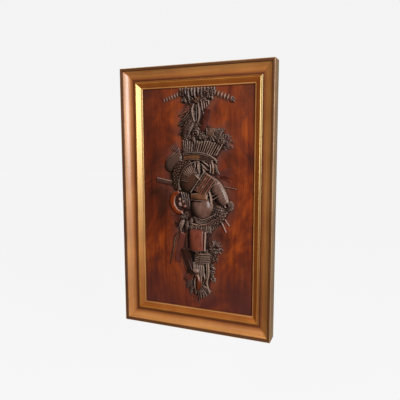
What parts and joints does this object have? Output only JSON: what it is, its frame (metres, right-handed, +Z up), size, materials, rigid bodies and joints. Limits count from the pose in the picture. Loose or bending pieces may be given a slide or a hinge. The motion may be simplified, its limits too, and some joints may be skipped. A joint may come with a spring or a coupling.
{
  "type": "framed trophy carving",
  "caption": "Upright carved walnut-red wooden panel with a hanging pastoral trophy in relief, in a mitred cove frame with a pale gold-brown slip",
  "frame": {"origin": "middle of the back face of the top rail, where the frame hangs on the wall", "axes": "+Z up along the long side, +Y into the wall, -Y out of the front, +X right as seen from the front"},
  "size_m": [0.5, 0.05, 0.835],
  "materials": {
    "rail_wood": "satin polish",
    "slip_wood": "satin polish",
    "panel_wood": "old wax polish"
  },
  "bodies": {
    "root": {"top_rail": "rail_wood", "bottom_rail": "rail_wood", "left_rail": "rail_wood", "right_rail": "rail_wood", "top_slip": "slip_wood", "bottom_slip": "slip_wood", "left_slip": "slip_wood", "right_slip": "slip_wood", "carved_panel": "panel_wood"}
  },
  "joints": []
}
